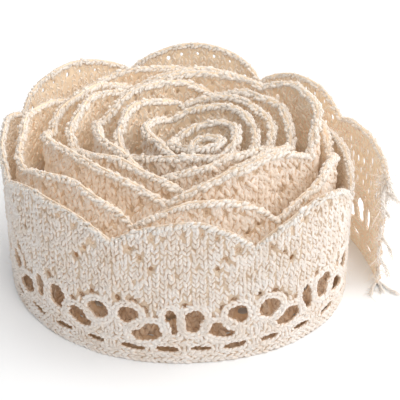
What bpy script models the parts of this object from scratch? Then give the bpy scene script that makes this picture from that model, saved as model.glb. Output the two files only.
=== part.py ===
"""Roll of scalloped lace trim: a strip wound on its straight edge, with a loose, frayed end."""
import math

import bpy
import numpy as np

for old in list(bpy.data.objects):
    bpy.data.objects.remove(old, do_unlink=True)

MM = 0.001

# the lace strip, in millimetres
THICK = 1.2
PITCH = 29.0
STRIP_HEIGHT = 32.0
GAP = 0.3

# the roll: angles run inward from the start of the roll, seen from above
START_ANGLE = 50.0
LAST_ANGLE = 3060.0

# angle past the start of the roll, radius
LOOSE_ROWS = [
    (-107.0, 46.0), (-62.0, 41.6), (-50.0, 39.4), (-40.0, 38.2), (-30.0, 37.3), (-20.0, 36.7),
]

# centre x, centre y, then the radius at every 45 degrees of each turn
TURN_ROWS = [
    (0.0, 0.0, 36.5, 37.6, 36.2, 35.4, 36.0, 36.0, 36.6, 33.4),
    (0.0, 0.0, 33.4, 32.2, 32.0, 32.6, 30.8, 30.4, 31.4, 30.6),
    (0.0, 0.0, 30.2, 27.6, 27.0, 26.4, 23.4, 24.5, 24.0, 27.8),
    (0.0, 0.0, 26.3, 23.6, 22.4, 21.6, 19.4, 20.2, 20.0, 22.0),
    (1.0, -1.2, 21.4, 21.2, 19.2, 17.4, 15.6, 15.8, 15.4, 16.6),
    (2.0, -2.5, 17.4, 17.2, 15.6, 13.6, 11.8, 11.4, 11.0, 12.0),
    (3.5, -4.5, 13.6, 13.8, 12.0, 9.6, 8.0, 6.9, 6.6, 7.6),
    (4.5, -6.0, 8.8, 8.6, 7.2, 5.6, 4.3, 3.7, 3.5, 3.3),
    (4.5, -6.0, 3.0, 2.7, 2.4, 2.2, 2.1, 2.0, 2.0, 2.0),
]

# angle of a notch between two scallops, height of the notch, height of the scallop that follows
SCALLOP_ROWS = [
    (-68.0, 25.0, 29.0), (-26.0, 25.5, 30.0), (13.0, 25.0, 32.0), (56.0, 26.0, 31.5),
    (102.0, 26.0, 30.5), (149.0, 26.0, 31.0), (199.0, 26.4, 31.6), (242.0, 24.5, 30.5),
    (289.0, 22.5, 27.0), (335.0, 24.0, 28.0), (388.0, 27.0, 31.0), (448.0, 27.0, 31.0),
    (509.0, 28.0, 33.0), (563.0, 27.0, 32.5), (615.0, 26.0, 29.5), (671.0, 25.0, 29.0),
    (725.0, 27.0, 32.0), (781.0, 28.0, 32.0), (840.0, 28.5, 33.0), (934.0, 29.0, 35.0),
    (1014.0, 29.0, 36.0), (1078.0, 31.0, 33.0),
]
INNER_NOTCH = 29.0
INNER_SCALLOP = 33.0

# angle past the start of the roll, outward lean in degrees
LEAN_ROWS = [(-110.0, 0.0), (-40.0, 0.0), (20.0, 7.0), (90.0, 7.0), (120.0, 2.0), (150.0, 0.0), (5000.0, 0.0)]

# one repeat of the openwork: column lines as shares of the repeat, row lines as heights
COLUMN_LINES = [0.02, 0.165, 0.33, 0.37, 0.485, 0.515, 0.63, 0.67, 0.835, 0.98]
ROW_LINES = [0.0, 5.0, 8.0, 8.6, 12.4]
# column after its line, row: the cells left open
OPEN_CELLS = {(0, 3), (1, 1), (3, 2), (3, 3), (5, 2), (5, 3), (7, 1), (8, 3)}
WIDEST_BEND = 24.0

# height on the cut edge, length, turn outward, rise in degrees, droop, radius of each loose yarn
YARN_ROWS = [
    (25.0, 4.5, 20.0, -20.0, 1.0, 0.35),
    (23.6, 6.0, -14.0, -6.0, 1.8, 0.38),
    (22.0, 5.2, 26.0, 12.0, 1.4, 0.34),
    (20.2, 3.6, -8.0, -30.0, 0.8, 0.36),
    (17.6, 2.8, 16.0, 6.0, 0.6, 0.34),
    (14.8, 3.4, -20.0, -24.0, 0.8, 0.35),
    (11.6, 6.5, 12.0, 8.0, 2.6, 0.36),
    (9.4, 3.8, -16.0, -18.0, 0.8, 0.35),
    (6.6, 4.6, 24.0, -28.0, 0.6, 0.36),
    (4.2, 3.2, -10.0, -14.0, 0.5, 0.35),
]
# length and turn outward of each yarn that lies on the floor
FLOOR_YARN_ROWS = [(5.6, -26.0), (4.4, 8.0), (6.2, 34.0)]
FLOOR_YARN_RADIUS = 0.36


def smooth(x, nodes, values):
    """Cubic curve through the nodes, with each slope taken from its neighbours."""
    nodes = np.asarray(nodes, float)
    values = np.asarray(values, float)
    slope = np.gradient(values, nodes)
    i = np.clip(np.searchsorted(nodes, x, side="right") - 1, 0, len(nodes) - 2)
    h = nodes[i + 1] - nodes[i]
    t = np.clip((x - nodes[i]) / h, 0.0, 1.0)
    return (
        (2 * t**3 - 3 * t**2 + 1) * values[i]
        + (t**3 - 2 * t**2 + t) * h * slope[i]
        + (3 * t**2 - 2 * t**3) * values[i + 1]
        + (t**3 - t**2) * h * slope[i + 1]
    )


def strip_path():
    """Angle, place, outward normal and running length along the strip, from the cut end inward."""
    angle = np.linspace(-70.0, LAST_ANGLE, 9000)
    nodes = [a for a, _ in LOOSE_ROWS] + [45.0 * k for k in range(8 * len(TURN_ROWS))]
    radii = [r for _, r in LOOSE_ROWS] + [r for row in TURN_ROWS for r in row[2:]]
    radius = smooth(angle, nodes, radii)
    middle = [360.0 * k + 180.0 for k in range(len(TURN_ROWS))]
    cx = np.interp(angle, middle, [row[0] for row in TURN_ROWS])
    cy = np.interp(angle, middle, [row[1] for row in TURN_ROWS])
    turn = np.radians(START_ANGLE + angle)
    place = np.stack([cx + radius * np.cos(turn), cy + radius * np.sin(turn)], axis=-1)
    along = np.gradient(place, axis=0)
    along /= np.linalg.norm(along, axis=1)[:, None]
    normal = np.stack([along[:, 1], -along[:, 0]], axis=-1)
    steps = np.linalg.norm(np.diff(place, axis=0), axis=1)
    length = np.concatenate([[0.0], np.cumsum(steps)])
    return angle, place, normal, length


ANGLE, PLACE, NORMAL, LENGTH = strip_path()


def notch_rows():
    """The notches of the outer turns, then evenly spaced ones to the middle."""
    rows = list(SCALLOP_ROWS)
    while True:
        here = np.interp(rows[-1][0], ANGLE, LENGTH) + PITCH
        if here > LENGTH[-1]:
            break
        rows.append((float(np.interp(here, LENGTH, ANGLE)), INNER_NOTCH, INNER_SCALLOP))
    rows.append((rows[-1][0] + 600.0, INNER_NOTCH, INNER_SCALLOP))
    return np.array(rows)


NOTCH = notch_rows()
COUNT = smooth(ANGLE, NOTCH[:, 0], np.arange(len(NOTCH)))


def top_height(count):
    i = min(int(count), len(NOTCH) - 2)
    part = count - i
    notch = NOTCH[i, 1] * (1.0 - part) + NOTCH[i + 1, 1] * part
    return notch + (NOTCH[i, 2] - notch) * math.sin(math.pi * part) ** 0.7


def lift(count):
    """Inner turns stand a little higher than the outer ones."""
    peaks = np.maximum(NOTCH[:, 2] - STRIP_HEIGHT, 0.0)
    return float(np.interp(count, np.arange(len(NOTCH)) + 0.5, peaks))


def station(count, height, side):
    """A point of the strip: count of scallops from the cut, height above the floor edge, side."""
    angle = np.interp(count, COUNT, ANGLE)
    place = np.array([np.interp(angle, ANGLE, PLACE[:, k]) for k in (0, 1)])
    normal = np.array([np.interp(angle, ANGLE, NORMAL[:, k]) for k in (0, 1)])
    normal /= np.linalg.norm(normal)
    lean = math.radians(float(np.interp(angle, [a for a, _ in LEAN_ROWS], [b for _, b in LEAN_ROWS])))
    xy = place + normal * (height * math.sin(lean) + side * THICK / 2)
    return (xy[0], xy[1], lift(count) + height * math.cos(lean))


def bend(first, last):
    """Degrees the strip turns between two counts."""
    a, b = np.interp([first, last], COUNT, ANGLE)
    n0 = [np.interp(a, ANGLE, NORMAL[:, k]) for k in (0, 1)]
    n1 = [np.interp(b, ANGLE, NORMAL[:, k]) for k in (0, 1)]
    turned = math.degrees(abs(math.atan2(n0[0] * n1[1] - n0[1] * n1[0], n0[0] * n1[0] + n0[1] * n1[1])))
    return max(turned, (b - a) if b - a > 120.0 else 0.0)


def column_kind(count):
    """Which column of the repeat a count falls in."""
    share = count - int(count)
    started = [k for k, line in enumerate(COLUMN_LINES) if line <= share]
    return started[-1] if started else len(COLUMN_LINES) - 1


def columns(first, last, solid_until):
    """Column lines between two counts, and for each column its kind, or None where it stays solid."""
    inner = [i + share for i in range(int(first), int(last) + 1) for share in COLUMN_LINES]
    lines = [first] + [line for line in inner if first + 1e-6 < line < last - 1e-6] + [last]
    fine_lines = [first]
    fine_kinds = []
    for a, b in zip(lines[:-1], lines[1:]):
        kind = None if a < solid_until else column_kind(0.5 * (a + b))
        parts = max(1, math.ceil(bend(a, b) / WIDEST_BEND))
        for p in range(parts):
            fine_lines.append(a + (b - a) * (p + 1) / parts)
            fine_kinds.append(kind)
    return fine_lines, fine_kinds


def strip_mesh(first, last, solid_until=-1.0, pierced=True):
    """Closed sheet between two counts, with the openwork cut through."""
    lines, kinds = columns(first, last, solid_until)
    rows = len(ROW_LINES) + 2
    points = []
    for count in lines:
        top = top_height(count) - lift(count)
        heights = ROW_LINES + [0.5 * (ROW_LINES[-1] + top), top]
        for side in (1, -1):
            points += [station(count, h, side) for h in heights]

    def at(col, row, side):
        return (col * 2 + (0 if side > 0 else 1)) * rows + row

    def filled(col, row):
        if not (0 <= col < len(kinds) and 0 <= row < rows - 1):
            return False
        return not (pierced and (kinds[col], row) in OPEN_CELLS)

    faces = []
    for c in range(len(kinds)):
        for r in range(rows - 1):
            if not filled(c, r):
                continue
            faces.append((at(c, r, 1), at(c + 1, r, 1), at(c + 1, r + 1, 1), at(c, r + 1, 1)))
            faces.append((at(c, r, -1), at(c, r + 1, -1), at(c + 1, r + 1, -1), at(c + 1, r, -1)))
            if not filled(c - 1, r):
                faces.append((at(c, r, 1), at(c, r + 1, 1), at(c, r + 1, -1), at(c, r, -1)))
            if not filled(c + 1, r):
                faces.append((at(c + 1, r, 1), at(c + 1, r, -1), at(c + 1, r + 1, -1), at(c + 1, r + 1, 1)))
            if not filled(c, r - 1):
                faces.append((at(c, r, 1), at(c, r, -1), at(c + 1, r, -1), at(c + 1, r, 1)))
            if not filled(c, r + 1):
                faces.append((at(c, r + 1, 1), at(c + 1, r + 1, 1), at(c + 1, r + 1, -1), at(c, r + 1, -1)))
    return np.array(points), faces


def yarn_mesh(path, radius):
    """Three-sided yarn along a path, flat side down."""
    path = np.asarray(path, float)
    along = np.gradient(path, axis=0)
    along /= np.linalg.norm(along, axis=1)[:, None]
    side = np.cross(along, (0.0, 0.0, 1.0))
    side /= np.linalg.norm(side, axis=1)[:, None]
    up = np.cross(side, along)
    points = []
    for p, s, u in zip(path, side, up):
        for turn in (90.0, 210.0, 330.0):
            a = math.radians(turn)
            points.append(p + radius * (math.cos(a) * s + math.sin(a) * u))
    faces = [(0, 1, 2)]
    for i in range(len(path) - 1):
        for k in range(3):
            a, b = 3 * i + k, 3 * i + (k + 1) % 3
            faces.append((a, a + 3, b + 3, b))
    last = 3 * (len(path) - 1)
    faces.append((last + 2, last + 1, last))
    return np.array(points), faces


# the counts at which the strip is parted: fray, loose end, roll
FRAY_FROM = 0.105
FRAY_TO = 0.134
LOOSE_FROM = FRAY_TO + GAP / 27.0
LOOSE_TO = 1.345
ROLL_FROM = LOOSE_TO + GAP / 26.0
ROLL_TO = len(NOTCH) - 2 + 0.05


def outward(turn):
    """Horizontal direction off the cut edge, turned outward by so many degrees."""
    root = np.array(station(0.12, 0.0, 0))[:2]
    inner = np.array(station(0.16, 0.0, 0))[:2]
    d = (root - inner) / np.linalg.norm(root - inner)
    a = math.radians(turn)
    return np.array([d[0] * math.cos(a) - d[1] * math.sin(a), d[0] * math.sin(a) + d[1] * math.cos(a)])


def yarn_paths():
    paths = []
    for height, length, turn, rise, droop, radius in YARN_ROWS:
        root = np.array(station(0.12, height, 0))
        d = outward(turn)
        r = math.radians(rise)
        way = np.array([d[0] * math.cos(r), d[1] * math.cos(r), math.sin(r)])
        steps = np.linspace(0.0, 1.0, 6)
        path = [root + way * (length * t) - np.array([0.0, 0.0, droop * t * t]) for t in steps]
        paths.append((path, radius))
    for layer, (length, turn) in enumerate(FLOOR_YARN_ROWS):
        root = np.array(station(0.12, 0.0, 0))
        root[2] = FLOOR_YARN_RADIUS / 2 + 0.04 * (layer + 1)
        d = outward(turn)
        bow = np.array([-d[1], d[0], 0.0])
        steps = np.linspace(0.0, 1.0, 5)
        path = [root + np.array([d[0], d[1], 0.0]) * (length * t) + bow * (0.8 * t * t) for t in steps]
        paths.append((path, FLOOR_YARN_RADIUS))
    return paths


def new_object(name, points, faces, shift):
    mesh = bpy.data.meshes.new(name)
    mesh.from_pydata([tuple((np.array(p) - shift) * MM) for p in points], [], faces)
    mesh.validate()
    mesh.update()
    ob = bpy.data.objects.new(name, mesh)
    bpy.context.scene.collection.objects.link(ob)
    return ob


def fuse(base, other):
    """Joins another solid into the base and removes it."""
    mod = base.modifiers.new("fuse", "BOOLEAN")
    mod.operation = "UNION"
    mod.solver = "EXACT"
    mod.object = other
    graph = bpy.context.evaluated_depsgraph_get()
    joined = bpy.data.meshes.new_from_object(base.evaluated_get(graph))
    base.modifiers.clear()
    base.data = joined
    bpy.data.objects.remove(other, do_unlink=True)


def finish_with(ob, color, roughness):
    mat = bpy.data.materials.new(ob.name)
    mat.use_nodes = True
    bsdf = mat.node_tree.nodes["Principled BSDF"]
    bsdf.inputs["Base Color"].default_value = (*color, 1.0)
    bsdf.inputs["Roughness"].default_value = roughness
    ob.data.materials.clear()
    ob.data.materials.append(mat)


roll = strip_mesh(ROLL_FROM, ROLL_TO)
loose = strip_mesh(LOOSE_FROM, LOOSE_TO, solid_until=0.15)
fray = strip_mesh(FRAY_FROM, FRAY_TO, pierced=False)
yarns = [yarn_mesh(path, radius) for path, radius in yarn_paths()]

# the origin is the middle of the whole object's footprint
everything = np.concatenate([roll[0], loose[0], fray[0]] + [points for points, _ in yarns])
low = everything.min(axis=0)
high = everything.max(axis=0)
SHIFT = np.array([(low[0] + high[0]) / 2, (low[1] + high[1]) / 2, 0.0])

roll_ob = new_object("lace_roll", *roll, SHIFT)
loose_ob = new_object("loose_end", *loose, SHIFT)
fray_ob = new_object("frayed_end", *fray, SHIFT)
for index, (points, faces) in enumerate(yarns):
    fuse(fray_ob, new_object(f"yarn_{index}", points, faces, SHIFT))

finish_with(roll_ob, (0.86, 0.80, 0.72), 0.9)
finish_with(loose_ob, (0.85, 0.78, 0.69), 0.9)
finish_with(fray_ob, (0.88, 0.83, 0.76), 0.92)
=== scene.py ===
import math

import bpy
import numpy as np
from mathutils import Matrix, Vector
from mathutils.geometry import delaunay_2d_cdt


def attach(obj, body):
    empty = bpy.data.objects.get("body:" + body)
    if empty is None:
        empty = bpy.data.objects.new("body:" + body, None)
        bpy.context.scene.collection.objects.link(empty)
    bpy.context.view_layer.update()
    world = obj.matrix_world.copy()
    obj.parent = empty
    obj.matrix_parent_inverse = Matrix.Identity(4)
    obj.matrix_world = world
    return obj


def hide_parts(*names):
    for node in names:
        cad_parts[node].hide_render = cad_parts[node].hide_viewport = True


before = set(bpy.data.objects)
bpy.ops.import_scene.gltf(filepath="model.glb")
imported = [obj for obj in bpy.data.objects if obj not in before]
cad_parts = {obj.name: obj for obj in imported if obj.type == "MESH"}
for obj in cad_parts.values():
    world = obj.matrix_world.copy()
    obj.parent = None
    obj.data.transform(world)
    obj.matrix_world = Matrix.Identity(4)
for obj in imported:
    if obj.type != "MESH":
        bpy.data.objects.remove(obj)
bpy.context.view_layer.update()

# Camera: a long lens looks a third of the way down on the roll from its front, with the loose end at
# the right. Lengths in the shape tables of this file are in millimetres.

MM = 0.001
ROLL_AXIS = (-4.1354261266, -2.7235969597)
CAMERA_REACH = 300.0
CAMERA_DOWN = 33.5
FOCAL_PIXELS = 1400.0
PICTURE_PIXELS = 400.0
AXIS_PIXEL = (181.0, 259.0)
SENSOR_WIDTH = 36.0

down = math.radians(CAMERA_DOWN)
eye = Vector((
    ROLL_AXIS[0], ROLL_AXIS[1] - CAMERA_REACH * math.cos(down), CAMERA_REACH * math.sin(down),
))
right = Vector((1.0, 0.0, 0.0))
ahead = Vector((0.0, math.cos(down), -math.sin(down)))
upward = right.cross(ahead)
aim = ahead + right * ((PICTURE_PIXELS / 2 - AXIS_PIXEL[0]) / FOCAL_PIXELS)
aim += upward * ((AXIS_PIXEL[1] - PICTURE_PIXELS / 2) / FOCAL_PIXELS)

camera_data = bpy.data.cameras.new("camera")
camera_data.sensor_width = SENSOR_WIDTH
camera_data.lens = SENSOR_WIDTH * FOCAL_PIXELS / PICTURE_PIXELS
camera_data.clip_start = 0.01
camera_data.clip_end = 10.0
camera = bpy.data.objects.new("camera", camera_data)
bpy.context.scene.collection.objects.link(camera)
camera.location = eye * MM
camera.rotation_mode = "QUATERNION"
camera.rotation_quaternion = aim.to_track_quat("-Z", "Y")
bpy.context.scene.camera = camera

# Light: a white tent, dimmer on its left and a little cool, with four soft warm lamps: in front, high
# above, behind and at the right.

TENT_COLOR = (0.955, 0.965, 0.99, 1.0)
TENT_LEFT, TENT_RIGHT = 0.32, 0.95
LAMP_COLOR = (1.0, 0.95, 0.89)
LAMPS = {  # place, target, width in metres, watts
    "lamp_front": ((0.20, -0.44, 0.45), (0.0, 0.0, 0.015), 0.30, 0.92),
    "lamp_over": ((0.05, 0.02, 0.62), (0.0, 0.0, 0.02), 0.45, 1.38),
    "lamp_back": ((0.16, 0.48, 0.42), (0.0, 0.0, 0.02), 0.35, 0.65),
    "lamp_right": ((0.50, 0.02, 0.30), (0.03, 0.0, 0.015), 0.30, 0.70),
}


def worker(tree):
    """Gives a function that adds a node to a tree, sets it and links or sets what goes into it."""
    def add(kind, inputs=None, **settings):
        node = tree.nodes.new(kind)
        for key, value in settings.items():
            setattr(node, key, value)
        for key, value in (inputs or {}).items():
            if isinstance(value, bpy.types.NodeSocket):
                tree.links.new(value, node.inputs[key])
            else:
                node.inputs[key].default_value = value
        return node
    return add


world = bpy.data.worlds.new("tent")
world.use_nodes = True
add = worker(world.node_tree)
toward = add("ShaderNodeTexCoord").outputs["Generated"]
across = add("ShaderNodeSeparateXYZ", {0: toward}).outputs["X"]
strength = add("ShaderNodeMapRange", {
    "Value": across, "From Min": -1.0, "From Max": 1.0, "To Min": TENT_LEFT, "To Max": TENT_RIGHT,
}).outputs["Result"]
tent = world.node_tree.nodes["Background"].inputs
tent["Color"].default_value = TENT_COLOR
world.node_tree.links.new(strength, tent["Strength"])
bpy.context.scene.world = world
bpy.context.scene.view_settings.view_transform = "Standard"

for name, (place, target, width, watts) in LAMPS.items():
    lamp_data = bpy.data.lights.new(name, "AREA")
    lamp_data.shape = "DISK"
    lamp_data.size = width
    lamp_data.energy = watts
    lamp_data.color = LAMP_COLOR
    lamp = bpy.data.objects.new(name, lamp_data)
    bpy.context.scene.collection.objects.link(lamp)
    lamp.location = place
    lamp.rotation_mode = "QUATERNION"
    lamp.rotation_quaternion = (Vector(target) - Vector(place)).to_track_quat("-Z", "Y")

# Floor: plain pale paper under the roll.

PAPER_COLOR = (0.94, 0.965, 0.99, 1.0)
PAPER_REACH = 3

floor_mesh = bpy.data.meshes.new("floor")
corners = [(x * PAPER_REACH, y * PAPER_REACH, 0) for x, y in ((-1, -1), (1, -1), (1, 1), (-1, 1))]
floor_mesh.from_pydata(corners, [], [(0, 1, 2, 3)])
floor = bpy.data.objects.new("floor", floor_mesh)
bpy.context.scene.collection.objects.link(floor)
paper = bpy.data.materials.new("pale_paper")
paper.use_nodes = True
paper.node_tree.nodes["Principled BSDF"].inputs["Base Color"].default_value = PAPER_COLOR
paper.node_tree.nodes["Principled BSDF"].inputs["Roughness"].default_value = 0.9
floor_mesh.materials.append(paper)

# Lace ground: the thin cotton ground of the trim is one strip with its openwork, looped all in one
# piece. It is wound inward on its straight foot edge into about eight loose turns, held by nothing, and
# the sheet here replaces the plain wound solid and the plain loose end.

START_ANGLE = 50.0
LAST_ANGLE = 3060.0
PITCH = 29.0
STRIP_HEIGHT = 32.0

# angle past the start of the roll, radius
LOOSE_ROWS = [
    (-107.0, 46.0), (-62.0, 41.6), (-50.0, 39.4), (-40.0, 38.2), (-30.0, 37.3), (-20.0, 36.7),
]
# for each turn: centre x and y, then the radius at every 45 degrees
TURN_ROWS = [
    (0.0, 0.0, 36.5, 37.6, 36.2, 35.4, 36.0, 36.0, 36.6, 33.4),
    (0.0, 0.0, 33.4, 32.2, 32.0, 32.6, 30.8, 30.4, 31.4, 30.6),
    (0.0, 0.0, 30.2, 27.6, 27.0, 26.4, 23.4, 24.5, 24.0, 27.8),
    (0.0, 0.0, 26.3, 23.6, 22.4, 21.6, 19.4, 20.2, 20.0, 22.0),
    (1.0, -1.2, 21.4, 21.2, 19.2, 17.4, 15.6, 15.8, 15.4, 16.6),
    (2.0, -2.5, 17.4, 17.2, 15.6, 13.6, 11.8, 11.4, 11.0, 12.0),
    (3.5, -4.5, 13.6, 13.8, 12.0, 9.6, 8.0, 6.9, 6.6, 7.6),
    (4.5, -6.0, 8.8, 8.6, 7.2, 5.6, 4.3, 3.7, 3.5, 3.3),
    (4.5, -6.0, 3.0, 2.7, 2.4, 2.2, 2.1, 2.0, 2.0, 2.0),
]
# angle of a notch between two scallops, its height, height of the scallop after it
SCALLOP_ROWS = [
    (-68.0, 25.0, 29.0), (-26.0, 25.5, 30.0), (13.0, 25.0, 32.0), (56.0, 26.0, 31.5),
    (102.0, 26.0, 30.5), (149.0, 26.0, 31.0), (199.0, 26.4, 31.6), (242.0, 24.5, 30.5),
    (289.0, 22.5, 27.0), (335.0, 24.0, 28.0), (388.0, 27.0, 31.0), (448.0, 27.0, 31.0),
    (509.0, 28.0, 33.0), (563.0, 27.0, 32.5), (615.0, 26.0, 29.5), (671.0, 25.0, 29.0),
    (725.0, 27.0, 32.0), (781.0, 28.0, 32.0), (840.0, 28.5, 33.0), (934.0, 29.0, 35.0),
    (1014.0, 29.0, 36.0), (1078.0, 31.0, 33.0),
]
INNER_SCALLOP = (29.0, 33.0)
# angle past the start of the roll, outward lean in degrees
LEAN_ROWS = [
    (-110.0, 0.0), (-40.0, 0.0), (20.0, 7.0), (90.0, 7.0), (120.0, 2.0), (150.0, 0.0), (5000.0, 0.0),
]


def smooth(x, nodes, values):
    """Cubic curve through the nodes, with each slope taken from its neighbours."""
    nodes = np.asarray(nodes, float)
    values = np.asarray(values, float)
    slope = np.gradient(values, nodes)
    i = np.clip(np.searchsorted(nodes, x, side="right") - 1, 0, len(nodes) - 2)
    h = nodes[i + 1] - nodes[i]
    t = np.clip((x - nodes[i]) / h, 0.0, 1.0)
    return (
        (2 * t**3 - 3 * t**2 + 1) * values[i]
        + (t**3 - 2 * t**2 + t) * h * slope[i]
        + (3 * t**2 - 2 * t**3) * values[i + 1]
        + (t**3 - t**2) * h * slope[i + 1]
    )


def wound_line():
    """Angle, place, outward normal and running length of the strip, from the cut end inward."""
    angle = np.linspace(-70.0, LAST_ANGLE, 9000)
    nodes = [a for a, _ in LOOSE_ROWS] + [45.0 * k for k in range(8 * len(TURN_ROWS))]
    radii = [r for _, r in LOOSE_ROWS] + [r for row in TURN_ROWS for r in row[2:]]
    radius = smooth(angle, nodes, radii)
    middle = [360.0 * k + 180.0 for k in range(len(TURN_ROWS))]
    cx = np.interp(angle, middle, [row[0] for row in TURN_ROWS])
    cy = np.interp(angle, middle, [row[1] for row in TURN_ROWS])
    turn = np.radians(START_ANGLE + angle)
    place = np.stack([cx + radius * np.cos(turn), cy + radius * np.sin(turn)], axis=-1)
    along = np.gradient(place, axis=0)
    along /= np.linalg.norm(along, axis=1)[:, None]
    normal = np.stack([along[:, 1], -along[:, 0]], axis=-1)
    steps = np.linalg.norm(np.diff(place, axis=0), axis=1)
    return angle, place + np.array(ROLL_AXIS), normal, np.concatenate([[0.0], np.cumsum(steps)])


ANGLE, PLACE, NORMAL, LENGTH = wound_line()

notch_list = list(SCALLOP_ROWS)
while True:
    here = np.interp(notch_list[-1][0], ANGLE, LENGTH) + PITCH
    if here > LENGTH[-1]:
        break
    notch_list.append((float(np.interp(here, LENGTH, ANGLE)), *INNER_SCALLOP))
notch_list.append((notch_list[-1][0] + 600.0, *INNER_SCALLOP))
NOTCH = np.array(notch_list)
COUNT = smooth(ANGLE, NOTCH[:, 0], np.arange(len(NOTCH)))


def top_of(count):
    """Height of the scalloped edge at a count of scallops from the cut."""
    i = np.minimum(np.floor(count).astype(int), len(NOTCH) - 2)
    part = np.clip(count - i, 0.0, 1.0)
    notch = NOTCH[i, 1] * (1.0 - part) + NOTCH[i + 1, 1] * part
    return notch + (NOTCH[i, 2] - notch) * np.sin(np.pi * part) ** 0.7


def lift_of(count):
    """How far a turn stands off the floor: the inner ones are a little higher."""
    lift = np.maximum(NOTCH[:, 2] - STRIP_HEIGHT, 0.0)
    return np.interp(count, np.arange(len(NOTCH)) + 0.5, lift)


def reach_of(count):
    """Width of the strip from foot to scalloped edge."""
    return top_of(count) - lift_of(count)


def run_at(count):
    """Running length in mm at a count."""
    return np.interp(np.interp(count, COUNT, ANGLE), ANGLE, LENGTH)


def gap_outside(count):
    """Free way in mm from a turn to the one outside it."""
    angle = np.interp(count, COUNT, ANGLE)
    radius = np.linalg.norm(PLACE - np.array(ROLL_AXIS), axis=1)
    return np.interp(angle - 360.0, ANGLE, radius) - np.interp(angle, ANGLE, radius)


def ripple(count, height):
    """Soft waves of a limp strip, strongest at its scalloped edge."""
    reach = 0.12 + 0.55 * np.clip(height / 30.0, 0.0, 1.1) ** 2
    fade = np.clip((37.0 - count) / 4.0, 0.2, 1.0) * np.clip(0.5 + (count - 7.0) / 6.0, 0.5, 1.0)
    wave = sum(
        share * np.sin(2 * np.pi * often * count + shift)
        for share, often, shift in ((0.60, 1.0, 1.1), (0.45, 2.37, 0.7), (0.35, 0.613, 2.1))
    )
    # the foot of the second turn has slipped out against the first
    slip = np.clip((count - 9.3) / 1.2, 0.0, 1.0) * np.clip((16.6 - count) / 1.2, 0.0, 1.0)
    foot = np.clip(1.0 - height / 15.0, 0.0, 1.0) ** 1.3
    return reach * fade * wave + 0.62 * slip * gap_outside(count) * foot


def strip_axes(count):
    """Unit vectors along, up and outward on the strip."""
    angle = np.interp(count, COUNT, ANGLE)
    n = np.stack([np.interp(angle, ANGLE, NORMAL[:, k]) for k in (0, 1)], axis=-1)
    n /= np.linalg.norm(n, axis=-1)[..., None]
    lean = np.radians(np.interp(angle, *np.array(LEAN_ROWS).T))
    s, c = np.sin(lean), np.cos(lean)
    along = np.stack([-n[..., 1], n[..., 0], np.zeros_like(s)], axis=-1)
    up = np.stack([n[..., 0] * s, n[..., 1] * s, c], axis=-1)
    out = np.stack([n[..., 0] * c, n[..., 1] * c, -s], axis=-1)
    return along, up, out


def on_strip(count, height, out_by=0.0):
    """Places on the wound strip, in metres, from count, height and distance off its middle."""
    count, height, out_by = np.broadcast_arrays(
        np.asarray(count, float), np.asarray(height, float), np.asarray(out_by, float))
    angle = np.interp(count, COUNT, ANGLE)
    x, y = (np.interp(angle, ANGLE, PLACE[:, k]) for k in (0, 1))
    foot = np.stack([x, y, lift_of(count)], axis=-1)
    _, up, out = strip_axes(count)
    return (foot + up * height[..., None] + out * (out_by + ripple(count, height))[..., None]) * MM


# openings of one repeat: share of the repeat, height above the foot, width, height, slant, squareness
LARGE_OPENINGS = [
    (0.113, 10.4, 4.6, 4.2, -12.0, 2.3), (0.250, 7.3, 6.2, 3.8, 16.0, 2.1),
    (0.415, 9.7, 2.9, 5.4, 8.0, 2.2), (0.575, 9.8, 4.6, 5.4, -5.0, 2.2),
    (0.755, 7.3, 6.2, 3.8, -16.0, 2.1), (0.890, 10.4, 4.6, 4.2, 12.0, 2.3),
]
FOOT_SLITS = [(share, 3.4, 4.3, 1.5, 0.0, 2.4) for share in (0.125, 0.375, 0.625, 0.875)]
SMALL_EYELETS = [
    (0.03, 14.0, 1.0, 1.1, 0.0, 2.0), (0.145, 13.8, 1.3, 1.4, 0.0, 2.0),
    (0.225, 12.0, 1.1, 1.5, 20.0, 2.0), (0.315, 10.6, 1.0, 1.3, 25.0, 2.0),
    (0.50, 13.6, 1.0, 1.0, 0.0, 2.0), (0.69, 10.8, 1.2, 1.2, -25.0, 2.0),
    (0.775, 12.3, 1.1, 1.3, -20.0, 2.0), (0.855, 13.9, 1.3, 1.3, 0.0, 2.0),
]
# share of the repeat, distance below the scalloped edge
RIM_EYELETS = [(0.13, 3.4), (0.20, 6.2), (0.27, 9.0), (0.87, 3.4), (0.80, 6.2), (0.735, 9.0)]
EDGE_EYELETS = [0.27, 0.38, 0.50, 0.62, 0.73]
EDGE_EYELETS_BELOW = 2.5
WORN_HOLE_ROWS = (4.6, 7.4, 10.2, 12.6)
# how far each kind of opening is pulled about, and how far it has opened on the outside of the roll
PULL = {"large": 0.10, "slit": 0.12, "small": 0.18}
OPENED = {"large": 1.06, "slit": 1.05, "small": 1.35}
DRAWN_IN = 0.35
# counts of scallops from the cut: the outer turn ends, and the loose end and the roll begin and end
OUTSIDE_TO = 9
CUT_AT = 0.1451
TAIL_TO = 1.345
ROLL_FROM = 1.3565
ROLL_TO = 36.045


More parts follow.
